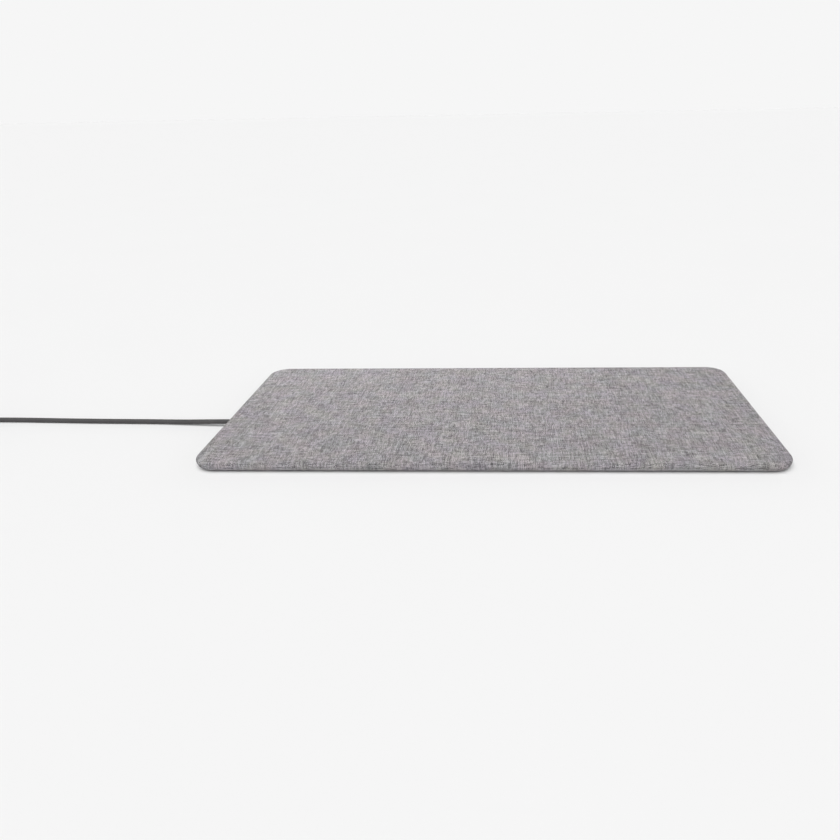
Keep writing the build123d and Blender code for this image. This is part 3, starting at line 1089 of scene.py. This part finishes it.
@dataclass
class SupplyLead:
    """The lead: out of the mat's side, along the table, into a tied coil, to its plug."""

    diameter: float = 3.6 * MM
    exit: Point = (-200.0 * MM, -16.6 * MM, 3.6 * MM)
    out_points: tuple[Point, ...] = (
        (-0.1970, -0.0166, 0.0036),
        (-0.2130, -0.0166, 0.0036),
        (-0.2360, -0.0144, 0.0023),
        (-0.2620, -0.0126, 0.00185),
        (-0.2950, -0.0120, 0.0018),
        (-0.3310, -0.0109, 0.0018),
        (-0.3680, -0.0093, 0.0018),
        (-0.3960, -0.0089, 0.0018),
        (-0.4170, -0.0101, 0.0018),
    )
    tail_points: tuple[Point, ...] = (
        (-0.4280, -0.0117, 0.0116),
        (-0.4370, -0.0113, 0.0120),
        (-0.4480, -0.0143, 0.0104),
        (-0.4565, -0.0225, 0.0062),
        (-0.4605, -0.0340, 0.0031),
        (-0.4615, -0.0460, 0.0031),
    )
    coil_centre: Pair = (-0.427, -0.034)
    columns_out: tuple[float, ...] = (23.6 * MM, 20.0 * MM, 16.4 * MM)
    columns_between: tuple[float, ...] = (18.2 * MM, 21.8 * MM)
    points_per_turn: int = 14
    start_turn: float = math.radians(93)
    step_over: float = 0.72
    looseness: float = 0.25 * MM
    tie_turn: float = math.radians(-60)
    tie_thick: float = 0.9 * MM

    def slots(self) -> list[Pair]:
        """Radius and height of each turn, layer by layer.

        Returns:
            (radius, z) of the ten turns, in metres.
        """
        rise = self.diameter * math.sqrt(3) / 2
        layers = (self.columns_out, self.columns_between, self.columns_out, self.columns_between)
        low = self.diameter / 2
        return [(radius, low + rise * layer) for layer, row in enumerate(layers) for radius in row]

    def turns(self) -> list[Point]:
        """Control points of the wound turns.

        Returns:
            Points in metres, from the outermost turn on the table to the top.
        """
        slots = self.slots()
        control_spread = 1.0 / math.cos(math.pi / self.points_per_turn)
        points = []
        for number, (radius, height) in enumerate(slots):
            next_radius, next_height = slots[min(number + 1, len(slots) - 1)]
            for step in range(self.points_per_turn):
                share = step / self.points_per_turn
                move = max(0.0, (share - self.step_over) / (1 - self.step_over))
                move = move * move * (3 - 2 * move)
                turn = self.start_turn + 2 * math.pi * share
                loose = self.looseness * math.sin(2.3 * number + 2 * math.pi * share)
                r = (radius + (next_radius - radius) * move + loose * (1 - move)) * control_spread
                x = self.coil_centre[0] + r * math.cos(turn)
                y = self.coil_centre[1] + r * math.sin(turn)
                points.append((x, y, height + (next_height - height) * move + self.over_tie(turn)))
        return points

    def over_tie(self, turn: float) -> float:
        """How far the strap underneath lifts the turns at an angle."""
        away = (turn - self.tie_turn + math.pi) % (2 * math.pi) - math.pi
        return self.tie_thick * max(0.0, math.cos(min(abs(away) * 2.2, math.pi / 2)))

    def route(self) -> list[Point]:
        """All control points of the lead, in metres."""
        return [*self.out_points, *self.turns(), *self.tail_points]

    def build(self) -> bpy.types.Object:
        """Makes the lead as one smooth curve."""
        return draw_round("supply_lead", self.route(), self.diameter, steps=6, sides=6)

    def length(self, lead: bpy.types.Object) -> float:
        """Length of the lead's own line, in metres.

        Args:
            lead: the curve.

        Returns:
            The length.
        """
        bare = bpy.data.objects.new("bare_line", lead.data.copy())
        bare.data.bevel_depth = 0.0
        line = bpy.data.meshes.new_from_object(bare)
        ends = ([line.vertices[index].co for index in edge.vertices] for edge in line.edges)
        total = sum((first - last).length for first, last in ends)
        bpy.data.meshes.remove(line)
        bpy.data.curves.remove(bare.data)
        return total


# ---- small modelled pieces ----------------------------------------------------------------


def select_parts(
    piece: bpy.types.Object, mode: str, wanted: Callable[[bmesh.types.BMesh], Iterable]
) -> None:
    """Selects faces or edges of a piece that is in edit mode.

    Args:
        piece: the piece.
        mode: FACE or EDGE.
        wanted: picks them from the mesh.
    """
    bpy.ops.mesh.select_mode(type=mode)
    bpy.ops.mesh.select_all(action="DESELECT")
    work = bmesh.from_edit_mesh(piece.data)
    for part in list(wanted(work)):
        part.select_set(True)
    bmesh.update_edit_mesh(piece.data)


def select_faces(piece: bpy.types.Object, wanted: Callable[[Vector, Vector], bool]) -> None:
    """Selects the faces whose middle and normal fit.

    Args:
        piece: the piece, in edit mode.
        wanted: says of a face's middle and normal whether to select it.
    """

    def fits(face: bmesh.types.BMFace) -> bool:
        """Whether a face fits."""
        return wanted(face.calc_center_median(), face.normal)

    select_parts(piece, "FACE", lambda work: filter(fits, work.faces))


def select_edges(piece: bpy.types.Object, wanted: Callable[[Vector, Vector], bool]) -> None:
    """Selects the edges whose middle and unit direction fit.

    Args:
        piece: the piece, in edit mode.
        wanted: says of an edge's middle and unit direction whether to select it.
    """

    def fits(edge: bmesh.types.BMEdge) -> bool:
        """Whether an edge fits."""
        first, last = (vertex.co for vertex in edge.verts)
        return wanted((first + last) / 2, (last - first).normalized())

    select_parts(piece, "EDGE", lambda work: filter(fits, work.edges))


def is_upright(middle: Vector, way: Vector) -> bool:
    """Whether an edge stands upright."""
    return abs(way.z) > 0.9


def add_block(name: str, middle: Point, size: Point) -> bpy.types.Object:
    """Adds a block to shape further and leaves it in edit mode.

    Args:
        name: the piece's name.
        middle: its middle, in metres.
        size: its three sides, in metres.

    Returns:
        The block.
    """
    nothing_selected()
    bpy.ops.mesh.primitive_cube_add(size=1.0, location=middle)
    piece = bpy.context.object
    piece.name = name
    piece.scale = size
    bpy.ops.object.transform_apply(location=True, rotation=True, scale=True)
    bpy.ops.object.mode_set(mode="EDIT")
    return piece


def add_slab(name: str, low: Vector, high: Vector, corner: float, segments: int) -> bpy.types.Object:
    """Adds a flat slab with rounded corners and leaves it in edit mode.

    Args:
        name: the piece's name.
        low: the lowest corner of its box.
        high: the highest corner of its box.
        corner: radius of its upright corners.
        segments: faces round each corner.

    Returns:
        The slab.
    """
    slab = add_block(name, tuple((low + high) / 2), tuple(high - low))
    select_edges(slab, is_upright)
    bpy.ops.mesh.bevel(offset=corner, segments=segments)
    return slab


def cut_across(axis: Point, places: list[float]) -> None:
    """Adds an edge loop across the whole of the piece in edit mode at each place along an axis.

    Args:
        axis: the axis.
        places: distances along it, in metres.
    """
    for place in places:
        bpy.ops.mesh.select_all(action="SELECT")
        bpy.ops.mesh.bisect(plane_co=tuple(place * part for part in axis), plane_no=axis)


def put(piece: bpy.types.Object, frame_matrix: Matrix) -> None:
    """Moves a finished piece from its own frame to its place, in its mesh.

    Args:
        piece: the piece.
        frame_matrix: where its own frame stands.
    """
    only(piece)
    piece.matrix_world = frame_matrix
    bpy.ops.object.transform_apply(location=True, rotation=True, scale=True)


def soften(piece: bpy.types.Object, width: float, angle: float = 35.0) -> None:
    """Rounds what sharp edges are left and shades the piece smoothly.

    Args:
        piece: the piece.
        width: how wide the rounding is, in metres.
        angle: sharpness from which an edge is rounded, in degrees.
    """
    limit = math.radians(angle)
    apply_modifier(piece, "BEVEL", width=width, segments=2, limit_method="ANGLE", angle_limit=limit)
    smooth(piece, 40)


@dataclass
class TieStrap:
    """Hook-and-loop strap round the coil, its free end pressed down on the outside."""

    coil_centre: Pair
    turn: float
    middle_radius: float = 20 * MM
    wide: float = 9 * MM
    thick: float = 0.9 * MM
    round_in: float = 2.3 * MM
    section: float = 12.6 * MM
    tab_long: float = 8.6 * MM

    def frame(self) -> Matrix:
        """Local X out from the coil's middle, Y along the turns, Z up.

        Returns:
            The strap's own frame.
        """
        x = self.coil_centre[0] + self.middle_radius * math.cos(self.turn)
        y = self.coil_centre[1] + self.middle_radius * math.sin(self.turn)
        return Matrix.Translation((x, y, 0.0)) @ Matrix.Rotation(self.turn, 4, "Z")

    def build(self) -> bpy.types.Object:
        """Makes the strap.

        Returns:
            The finished strap.
        """
        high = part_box("cord_tie")[1].z
        strap = add_block("tie_strap", (0.0, 0.0, high / 2), (self.section, self.wide, high))
        select_faces(strap, lambda middle, normal: abs(normal.y) > 0.5)
        bpy.ops.mesh.delete(type="FACE")
        select_edges(strap, lambda middle, way: abs(way.y) > 0.9)
        bpy.ops.mesh.bevel(offset=self.round_in, segments=8)
        bpy.ops.mesh.select_all(action="SELECT")
        bpy.ops.mesh.normals_make_consistent(inside=False)
        apply_modifier(strap, "SOLIDIFY", thickness=self.thick, offset=-1.0)
        tab = self.tab(high)
        only(strap)
        tab.select_set(True)
        bpy.ops.object.join()
        soften(strap, 0.14 * MM)
        put(strap, self.frame())
        return strap

    def tab(self, high: float) -> bpy.types.Object:
        """Free end of the strap, its last stretch lifting a little off the turn below.

        Args:
            high: the strap's height, in metres.

        Returns:
            The free end, not yet joined to the strap.
        """
        out = self.section / 2 + self.thick * 0.42
        top = high - self.round_in
        middle = (out, 0.0, top - self.tab_long / 2)
        tab = add_block("tie_tab", middle, (self.thick * 0.8, self.wide * 0.985, self.tab_long))
        cut_across(UP_WAY, [top - self.tab_long * share for share in (0.5, 0.65, 0.8, 0.9)])
        for share, lift in ((0.6, 0.10), (0.75, 0.16), (0.85, 0.22), (0.95, 0.30)):
            limit = top - self.tab_long * share
            select_edges(tab, lambda middle, way, limit=limit: middle.z < limit and abs(way.z) < 0.5)
            bpy.ops.transform.translate(value=(lift * MM, 0.0, 0.0))
        select_edges(tab, lambda middle, way: middle.z < top - self.tab_long * 0.99 and abs(way.x) > 0.9)
        bpy.ops.mesh.bevel(offset=2.2 * MM, segments=6)
        bpy.ops.object.mode_set(mode="OBJECT")
        return tab


@dataclass
class SupplyPlug:
    """Moulded plug: a rounded grip with finger ribs, and a ribbed sleeve on the lead."""

    heel: Vector
    heading: Vector
    relief_long: float = 12 * MM
    relief_start: float = 2.1 * MM
    relief_end: float = 2.9 * MM
    rings: int = 5
    ring_deep: float = 0.35 * MM
    grip: Point = (21 * MM, 11.4 * MM, 6.2 * MM)
    grip_round: float = 2.7 * MM
    ridges: int = 5
    ridge_pitch: float = 1.9 * MM
    ridge_deep: float = 0.28 * MM

    def frame(self) -> Matrix:
        """Local X along the plug, from the lead to the tip."""
        turn = math.atan2(self.heading.y, self.heading.x)
        return Matrix.Translation(self.heel) @ Matrix.Rotation(turn, 4, "Z")

    def build_grip(self) -> bpy.types.Object:
        """Makes the grip.

        Returns:
            The finished grip.
        """
        long, wide, high = self.grip
        middle = self.relief_long + long / 2
        grip = add_block("plug_grip", (middle, 0.0, 0.0), self.grip)
        select_edges(grip, lambda place, way: abs(way.x) > 0.9)
        bpy.ops.mesh.bevel(offset=self.grip_round, segments=9)
        select_faces(grip, lambda place, normal: abs(normal.x) > 0.9)
        bpy.ops.mesh.inset(thickness=0.7 * MM, depth=0.0)
        select_edges(grip, lambda place, way: self.on_rim(place, way, middle, long))
        bpy.ops.mesh.bevel(offset=0.55 * MM, segments=3)
        centre = (self.ridges - 1) / 2
        starts = [middle + (index - centre) * self.ridge_pitch for index in range(self.ridges)]
        half = self.ridge_pitch * 0.27
        cut_across(LONG_WAY, [start + side * half for start in starts for side in (-1, 1)])

        def in_groove(place: Vector, normal: Vector) -> bool:
            """Whether a face lies in one of the finger grooves."""
            return abs(normal.z) > 0.95 and any(abs(place.x - start) < half * 0.9 for start in starts)

        select_faces(grip, in_groove)
        bpy.ops.mesh.inset(thickness=0.12 * MM, depth=-self.ridge_deep, use_individual=True)
        bpy.ops.object.mode_set(mode="OBJECT")
        soften(grip, 0.07 * MM)
        put(grip, self.frame())
        return grip

    @staticmethod
    def on_rim(place: Vector, way: Vector, middle: float, long: float) -> bool:
        """Whether an edge lies on the outer rim of either end of the grip.

        Args:
            place: the edge's middle.
            way: its unit direction.
            middle: the grip's middle along the plug.
            long: the grip's length.

        Returns:
            Whether it does.
        """
        at_end = abs(abs(place.x - middle) - long / 2) < TINY and abs(way.x) < 0.1
        corner = math.hypot(max(0.0, abs(place.y) - 3.0 * MM), max(0.0, abs(place.z) - 0.4 * MM))
        outside = abs(place.y) > 5.35 * MM or abs(place.z) > 2.75 * MM or corner > 2.5 * MM
        return at_end and outside

    def ring_radius(self, share: float) -> float:
        """Radius of the sleeve at a share of its length, ribs included.

        Args:
            share: 0 at the lead, 1 at the grip.

        Returns:
            The radius, in metres.
        """
        body = self.relief_start + (self.relief_end - self.relief_start) * share
        rib = 0.5 - 0.5 * math.cos(2 * math.pi * share * self.rings)
        return body - self.ring_deep * rib ** 2 * (1.0 if share < 0.97 else 0.0)

    def build_relief(self) -> bpy.types.Object:
        """Makes the sleeve by drawing a disc out, ring after ring.

        Returns:
            The finished sleeve.
        """
        nothing_selected()
        bpy.ops.mesh.primitive_circle_add(
            vertices=36, radius=self.ring_radius(0.0), fill_type="NGON", rotation=(0.0, math.pi / 2, 0.0)
        )
        sleeve = bpy.context.object
        sleeve.name = "plug_sleeve"
        bpy.ops.object.transform_apply(location=True, rotation=True, scale=True)
        bpy.ops.object.mode_set(mode="EDIT")
        bpy.ops.mesh.select_all(action="SELECT")
        steps = 8 * self.rings
        for step in range(1, steps + 1):
            growth = self.ring_radius(step / steps) / self.ring_radius((step - 1) / steps)
            move = (self.relief_long / steps, 0.0, 0.0)
            bpy.ops.mesh.extrude_region_move(TRANSFORM_OT_translate={"value": move})
            centre = (self.relief_long * step / steps, 0.0, 0.0)
            bpy.ops.transform.resize(value=(1.0, growth, growth), center_override=centre)
        bpy.ops.mesh.select_all(action="SELECT")
        bpy.ops.mesh.normals_make_consistent(inside=False)
        bpy.ops.object.mode_set(mode="OBJECT")
        soften(sleeve, 0.08 * MM, angle=60.0)
        put(sleeve, self.frame())
        return sleeve


@dataclass
class BaseSheet:
    """Silicone sheet under the mat: rounded corners, a border channel and a blank label field."""

    corner: float = 8 * MM
    border: float = 4 * MM
    channel: float = 0.9 * MM
    channel_deep: float = 0.22 * MM
    channel_slope: float = 0.08 * MM
    label: Pair = (46 * MM, 16 * MM)
    low: Vector = box_corner("base_mat", 0)
    high: Vector = box_corner("base_mat", 1)

    def build(self) -> bpy.types.Object:
        """Makes the sheet.

        Returns:
            The finished sheet.
        """
        sheet = add_slab("base_sheet", self.low, self.high, self.corner, 14)
        select_faces(sheet, lambda middle, normal: normal.z < -0.9)
        bpy.ops.mesh.inset(thickness=self.border)
        bpy.ops.mesh.inset(thickness=self.channel_slope, depth=-self.channel_deep)
        bpy.ops.mesh.inset(thickness=self.channel)
        bpy.ops.mesh.inset(thickness=self.channel_slope, depth=self.channel_deep)
        self.press_label(sheet)
        bpy.ops.object.mode_set(mode="OBJECT")
        soften(sheet, 0.07 * MM, angle=60.0)
        return sheet

    def press_label(self, sheet: bpy.types.Object) -> None:
        """Sinks the blank label field into the middle of the underside.

        Args:
            sheet: the sheet, in edit mode.
        """
        wide, deep = self.label
        for axis, half in ((LONG_WAY, wide / 2), (DEEP_WAY, deep / 2)):
            for side in (-1, 1):
                select_faces(sheet, lambda middle, normal: normal.z < -0.9 and self.is_inner(middle))
                bpy.ops.mesh.bisect(plane_co=tuple(side * half * part for part in axis), plane_no=axis)

        def in_label(middle: Vector, normal: Vector) -> bool:
            """Whether a face is the label field."""
            return normal.z < -0.9 and abs(middle.x) < wide / 2 and abs(middle.y) < deep / 2

        select_faces(sheet, in_label)
        bpy.ops.mesh.inset(thickness=0.10 * MM, depth=-0.12 * MM)

    def is_inner(self, middle: Vector) -> bool:
        """Whether a point of the underside lies inside the border channel."""
        edge = self.border + self.channel + 1 * MM
        return abs(middle.x) < self.high.x - edge and abs(middle.y) < self.high.y - edge


# ---- what the mat holds inside ------------------------------------------------------------


@dataclass
class FoamPad:
    """Thin foam sheet between the shell and the cloth, which takes up the weave's unevenness."""

    corner: float = 10.4 * MM
    rim: float = 0.22 * MM
    grid: float = 6 * MM
    unevenness: float = 0.05 * MM
    low: Vector = box_corner("foam_layer", 0)
    high: Vector = box_corner("foam_layer", 1)

    def build(self) -> bpy.types.Object:
        """Makes the pad.

        Returns:
            The finished pad.
        """
        pad = add_slab("foam_pad", self.low, self.high, self.corner, 12)
        select_edges(pad, lambda middle, way: abs(middle.z - self.high.z) < TINY)
        bpy.ops.mesh.bevel(offset=self.rim, segments=3)
        for axis, reach in ((LONG_WAY, self.high.x), (DEEP_WAY, self.high.y)):
            count = int(reach / self.grid)
            cut_across(axis, [step * self.grid for step in range(-count, count + 1)])
        bpy.ops.object.mode_set(mode="OBJECT")
        for vertex in pad.data.vertices:
            if vertex.co.z > self.high.z - TINY:
                vertex.co.z -= self.unevenness * (0.5 + 0.5 * noise.noise(vertex.co * 60.0))
        smooth(pad, 40)
        return pad


@dataclass
class CoilWinding:
    """One charging coil, wound from stranded wire in a flat spiral."""

    node: str
    hole: float = 10.5 * MM
    wire: float = 1.08 * MM
    pitch: float = 1.115 * MM
    points_per_turn: int = 16

    def build(self) -> bpy.types.Object:
        """Makes the winding.

        Returns:
            The finished winding, from the outer end at the back to the inner one.
        """
        low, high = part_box(self.node)
        middle = (low + high) / 2
        outer = (high.x - low.x) / 2 - self.wire / 2
        turns = (outer - self.hole - self.wire / 2) / self.pitch
        route = []
        for step in range(int(turns * self.points_per_turn) + 1):
            turn = 2 * math.pi * step / self.points_per_turn
            radius = outer - self.pitch * turn / (2 * math.pi)
            route.append(tuple(middle + Vector((math.sin(turn), math.cos(turn), 0.0)) * radius))
        winding = draw_round(f"winding_{self.node.removeprefix('coil_')}", route, self.wire, steps=3, sides=2)
        only(winding)
        bpy.ops.object.convert(target="MESH")
        smooth(winding, 50)
        return winding


@dataclass
class InnerWorks:
    """Coils, shell, board and wiring: the coils are wound anew, the rest keep their shapes."""

    nodes: dict[str, bpy.types.Object]

    @staticmethod
    def litz(side: Side) -> bpy.types.Material:
        """Finish of one coil's wire."""
        low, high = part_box(f"coil_{side.value}")
        return LitzWire(f"litz_{side.value}", tuple((low + high) / 2)).make()

    def wind(self) -> set[str]:
        """Winds the three coils.

        Returns:
            The solids that the windings stand for.
        """
        nodes = {side: f"coil_{side.value}" for side in Side}
        for side, node in nodes.items():
            settle(CoilWinding(node).build(), self.litz(side), "litz_copper", node)
        return set(nodes.values())

    def finishes(self) -> dict[str, bpy.types.Material]:
        """Makes one material for each plain solid.

        Returns:
            Node name to material.
        """
        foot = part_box("main_board")[1].z + 0.12 * MM
        wires_low, wires_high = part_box("lead_wires")
        wanted = (
            (
                Moulded("shell_plastic", (0.040, 0.041, 0.044), roughness=0.52, grain=0.5 * MM),
                ("upper_housing", "lower_housing"),
            ),
            (AdhesiveFilm("adhesive_film", (0.62, 0.60, 0.54)), ("base_adhesive", "foam_adhesive")),
            (
                Metal("zinc_screw", (0.63, 0.64, 0.66), 0.34, (500.0, 500.0, 2500.0)),
                ("housing_screws", "board_screws", "clamp_screws"),
            ),
            (Metal("rolled_aluminium", (0.77, 0.78, 0.79), 0.36, (25.0, 1400.0, 200.0)), ("heat_spreader",)),
            (CircuitBoard(), ("main_board",)),
            (
                Moulded("white_nylon", (0.66, 0.65, 0.61), roughness=0.42, mottle=0.05),
                ("board_header", "lead_connector"),
            ),
            (WireJackets(wires_low.y, wires_high.y), ("lead_wires",)),
            (
                Moulded("bushing_rubber", (0.040, 0.039, 0.040), roughness=0.62, grain=0.2 * MM),
                ("cord_bushing",),
            ),
            (Metal("spring_steel", (0.56, 0.56, 0.57), 0.30, (1200.0, 30.0, 1200.0)), ("bushing_clamp",)),
            (
                ChipCeramic("black_epoxy", (0.022, 0.022, 0.024), foot),
                ("temperature_sensors", "control_chip", "driver_chips", "power_inductor", "board_resistors"),
            ),
            (
                ChipCeramic("tan_ceramic", (0.34, 0.235, 0.135), foot),
                ("resonant_capacitors", "filter_capacitors"),
            ),
            (Metal("nickel_shell", (0.62, 0.61, 0.60), 0.24, (60.0, 60.0, 1500.0)), ("plug_shell",)),
            (
                Moulded("contact_carrier", (0.018, 0.018, 0.019), roughness=0.4, grain=0.15 * MM),
                ("plug_insert",),
            ),
            (
                AdhesiveFilm("polyimide_tape", (0.50, 0.20, 0.030), roughness=0.22),
                tuple(f"coil_tape_{side.value}" for side in Side),
            ),
            (FerriteTile(), tuple(f"ferrite_{side.value}" for side in Side)),
        )
        made = {f"coil_leads_{side.value}": self.litz(side) for side in Side}
        for finish, names in wanted:
            made.update(dict.fromkeys(names, finish.make()))
        return made

    def build(self, stood_for: set[str]) -> None:
        """Dresses every solid that no modelled piece stands for.

        Args:
            stood_for: solids that are hidden behind modelled pieces.
        """
        made = self.finishes()
        for name, node in self.nodes.items():
            if name not in stood_for:
                dress(node, made[name])
        log.info("inner works: %d solids dressed", len(self.nodes) - len(stood_for))


# ---- studio -------------------------------------------------------------------------------


@dataclass
class Studio:
    """Pale floor, even sky, one broad lamp and the camera."""

    place: Point = (0.01627, -0.46410, 0.21655)
    yaw: float = math.radians(2.4698)
    pitch: float = math.radians(25.32)
    roll: float = math.radians(-1.1262)
    lens: float = 28.205
    sensor: float = 36.0
    shift: float = -0.0808
    view_range: Pair = (0.01, 200.0)
    floor_side: float = 60.0
    floor_gap: float = 0.05 * MM
    sky: float = 0.922
    sky_high: float = 0.12
    sky_fade: Pair = (0.20, 0.60)
    lamp_power: float = 2.74
    lamp_spread: float = math.radians(70)
    lamp_turn: Point = (math.radians(18), math.radians(-6), 0.0)
    side_power: float = 2.85
    side_size: float = 0.3
    side_place: Point = (-0.21, 0.51, 0.42)

    def camera(self) -> None:
        """Sets up the camera: a short lens, close to the mat and a little to its right."""
        data = bpy.data.cameras.new("camera")
        data.lens = self.lens
        data.sensor_width = self.sensor
        data.shift_x = self.shift
        data.clip_start, data.clip_end = self.view_range
        ahead = Vector((0.0, math.cos(self.pitch), -math.sin(self.pitch)))
        above = Vector((0.0, math.sin(self.pitch), math.cos(self.pitch)))
        level = Vector(LONG_WAY)
        right = math.cos(self.roll) * level + math.sin(self.roll) * above
        up = math.cos(self.roll) * above - math.sin(self.roll) * level
        turn = Matrix.Rotation(self.yaw, 3, "Z") @ Matrix((right, up, -ahead)).transposed()
        camera = add_object("camera", data)
        camera.matrix_world = Matrix.Translation(self.place) @ turn.to_4x4()
        bpy.context.scene.camera = camera

    def floor(self) -> None:
        """Lays the floor."""
        nothing_selected()
        bpy.ops.mesh.primitive_plane_add(size=self.floor_side, location=(0.0, 0.0, -self.floor_gap))
        floor = bpy.context.object
        floor.name = "studio_floor"
        dress(floor, Backdrop().make())

    def light(self) -> None:
        """Pale horizon, dim sky and one broad lamp overhead."""
        world = bpy.data.worlds.new("studio")
        world.use_nodes = True
        tree = world.node_tree
        way = tree.nodes.new("ShaderNodeTexCoord")
        split = tree.nodes.new("ShaderNodeSeparateXYZ")
        fade = tree.nodes.new("ShaderNodeMapRange")
        fade.interpolation_type = "SMOOTHSTEP"
        limits = {"From Min": self.sky_fade[0], "From Max": self.sky_fade[1]}
        levels = {"To Min": self.sky, "To Max": self.sky_high}
        for name, number in (limits | levels).items():
            fade.inputs[name].default_value = number
        tree.links.new(way.outputs["Generated"], split.inputs[0])
        tree.links.new(split.outputs[2], fade.inputs["Value"])
        tree.links.new(fade.outputs[0], tree.nodes["Background"].inputs["Color"])
        bpy.context.scene.world = world
        bpy.context.scene.view_settings.view_transform = "Standard"
        lamp = bpy.data.lights.new("overhead_lamp", "SUN")
        lamp.energy = self.lamp_power
        lamp.angle = self.lamp_spread
        add_object("overhead_lamp", lamp).rotation_euler = self.lamp_turn

    def side_lamp(self, cover: bpy.types.Object) -> None:
        """Small softbox near the back left corner, which brightens only the cloth.

        Args:
            cover: the cloth.
        """
        lamp = bpy.data.lights.new("side_lamp", "AREA")
        lamp.shape = "DISK"
        lamp.size = self.side_size
        lamp.energy = self.side_power
        holder = add_object("side_lamp", lamp)
        holder.matrix_world = Matrix.Translation(self.side_place)
        lit = bpy.data.collections.new("lit_by_side_lamp")
        lit.objects.link(cover)
        holder.light_linking.receiver_collection = lit

    def build(self) -> None:
        """Sets up the whole studio."""
        self.camera()
        self.floor()
        self.light()


def main() -> None:
    """Builds the studio and every piece, in order."""
    logging.basicConfig(level=logging.INFO, format="%(message)s")
    studio = Studio()
    studio.build()

    lead_maker = SupplyLead()
    lead = lead_maker.build()
    jacket = Moulded("lead_jacket", (0.060, 0.057, 0.058), roughness=0.5).make()
    settle(lead, jacket, "cord_jacket", "cord_lead", "cord_coil", "cord_tail")

    strap_maker = TieStrap(lead_maker.coil_centre, lead_maker.tie_turn)
    strap = strap_maker.build()
    frame_of_strap = strap_maker.frame()
    pile = LoopTape(tuple(frame_of_strap.to_3x3().col[1]), tuple(frame_of_strap.translation)).make()
    settle(strap, pile, "tie_strap", "cord_tie")

    before, heel = (Vector(point) for point in lead_maker.tail_points[-2:])
    plug_maker = SupplyPlug(heel, heel - before)
    moulding = Moulded("plug_moulding", (0.050, 0.048, 0.050), roughness=0.46, grain=0.25 * MM).make()
    grip = plug_maker.build_grip()
    settle(grip, moulding, "plug_grip", "plug_body")
    sleeve = plug_maker.build_relief()
    settle(sleeve, moulding, "plug_grip", "plug_relief")

    round(lead_maker.length(lead), 2)

    cover_maker = ClothCover()
    cover = cover_maker.build()
    studio.side_lamp(cover)
    settle(cover, MelangeCloth().make(), "cover_cloth", "fabric_cover")
    cover_maker.flat_size()

    base_maker = BaseSheet()
    settle(base_maker.build(), DottedSilicone(base_maker.label).make(), "base_silicone", "base_mat")

    foam = FoamPad().build()
    settle(foam, ClosedFoam().make(), "soft_foam", "foam_layer")

    works = InnerWorks(frame["nodes"])
    replaced = {"cord_lead", "cord_coil", "cord_tail", "cord_tie", "plug_body", "plug_relief"}
    works.build(replaced | {"fabric_cover", "base_mat", "foam_layer"} | works.wind())


if __name__ == "__main__":
    main()
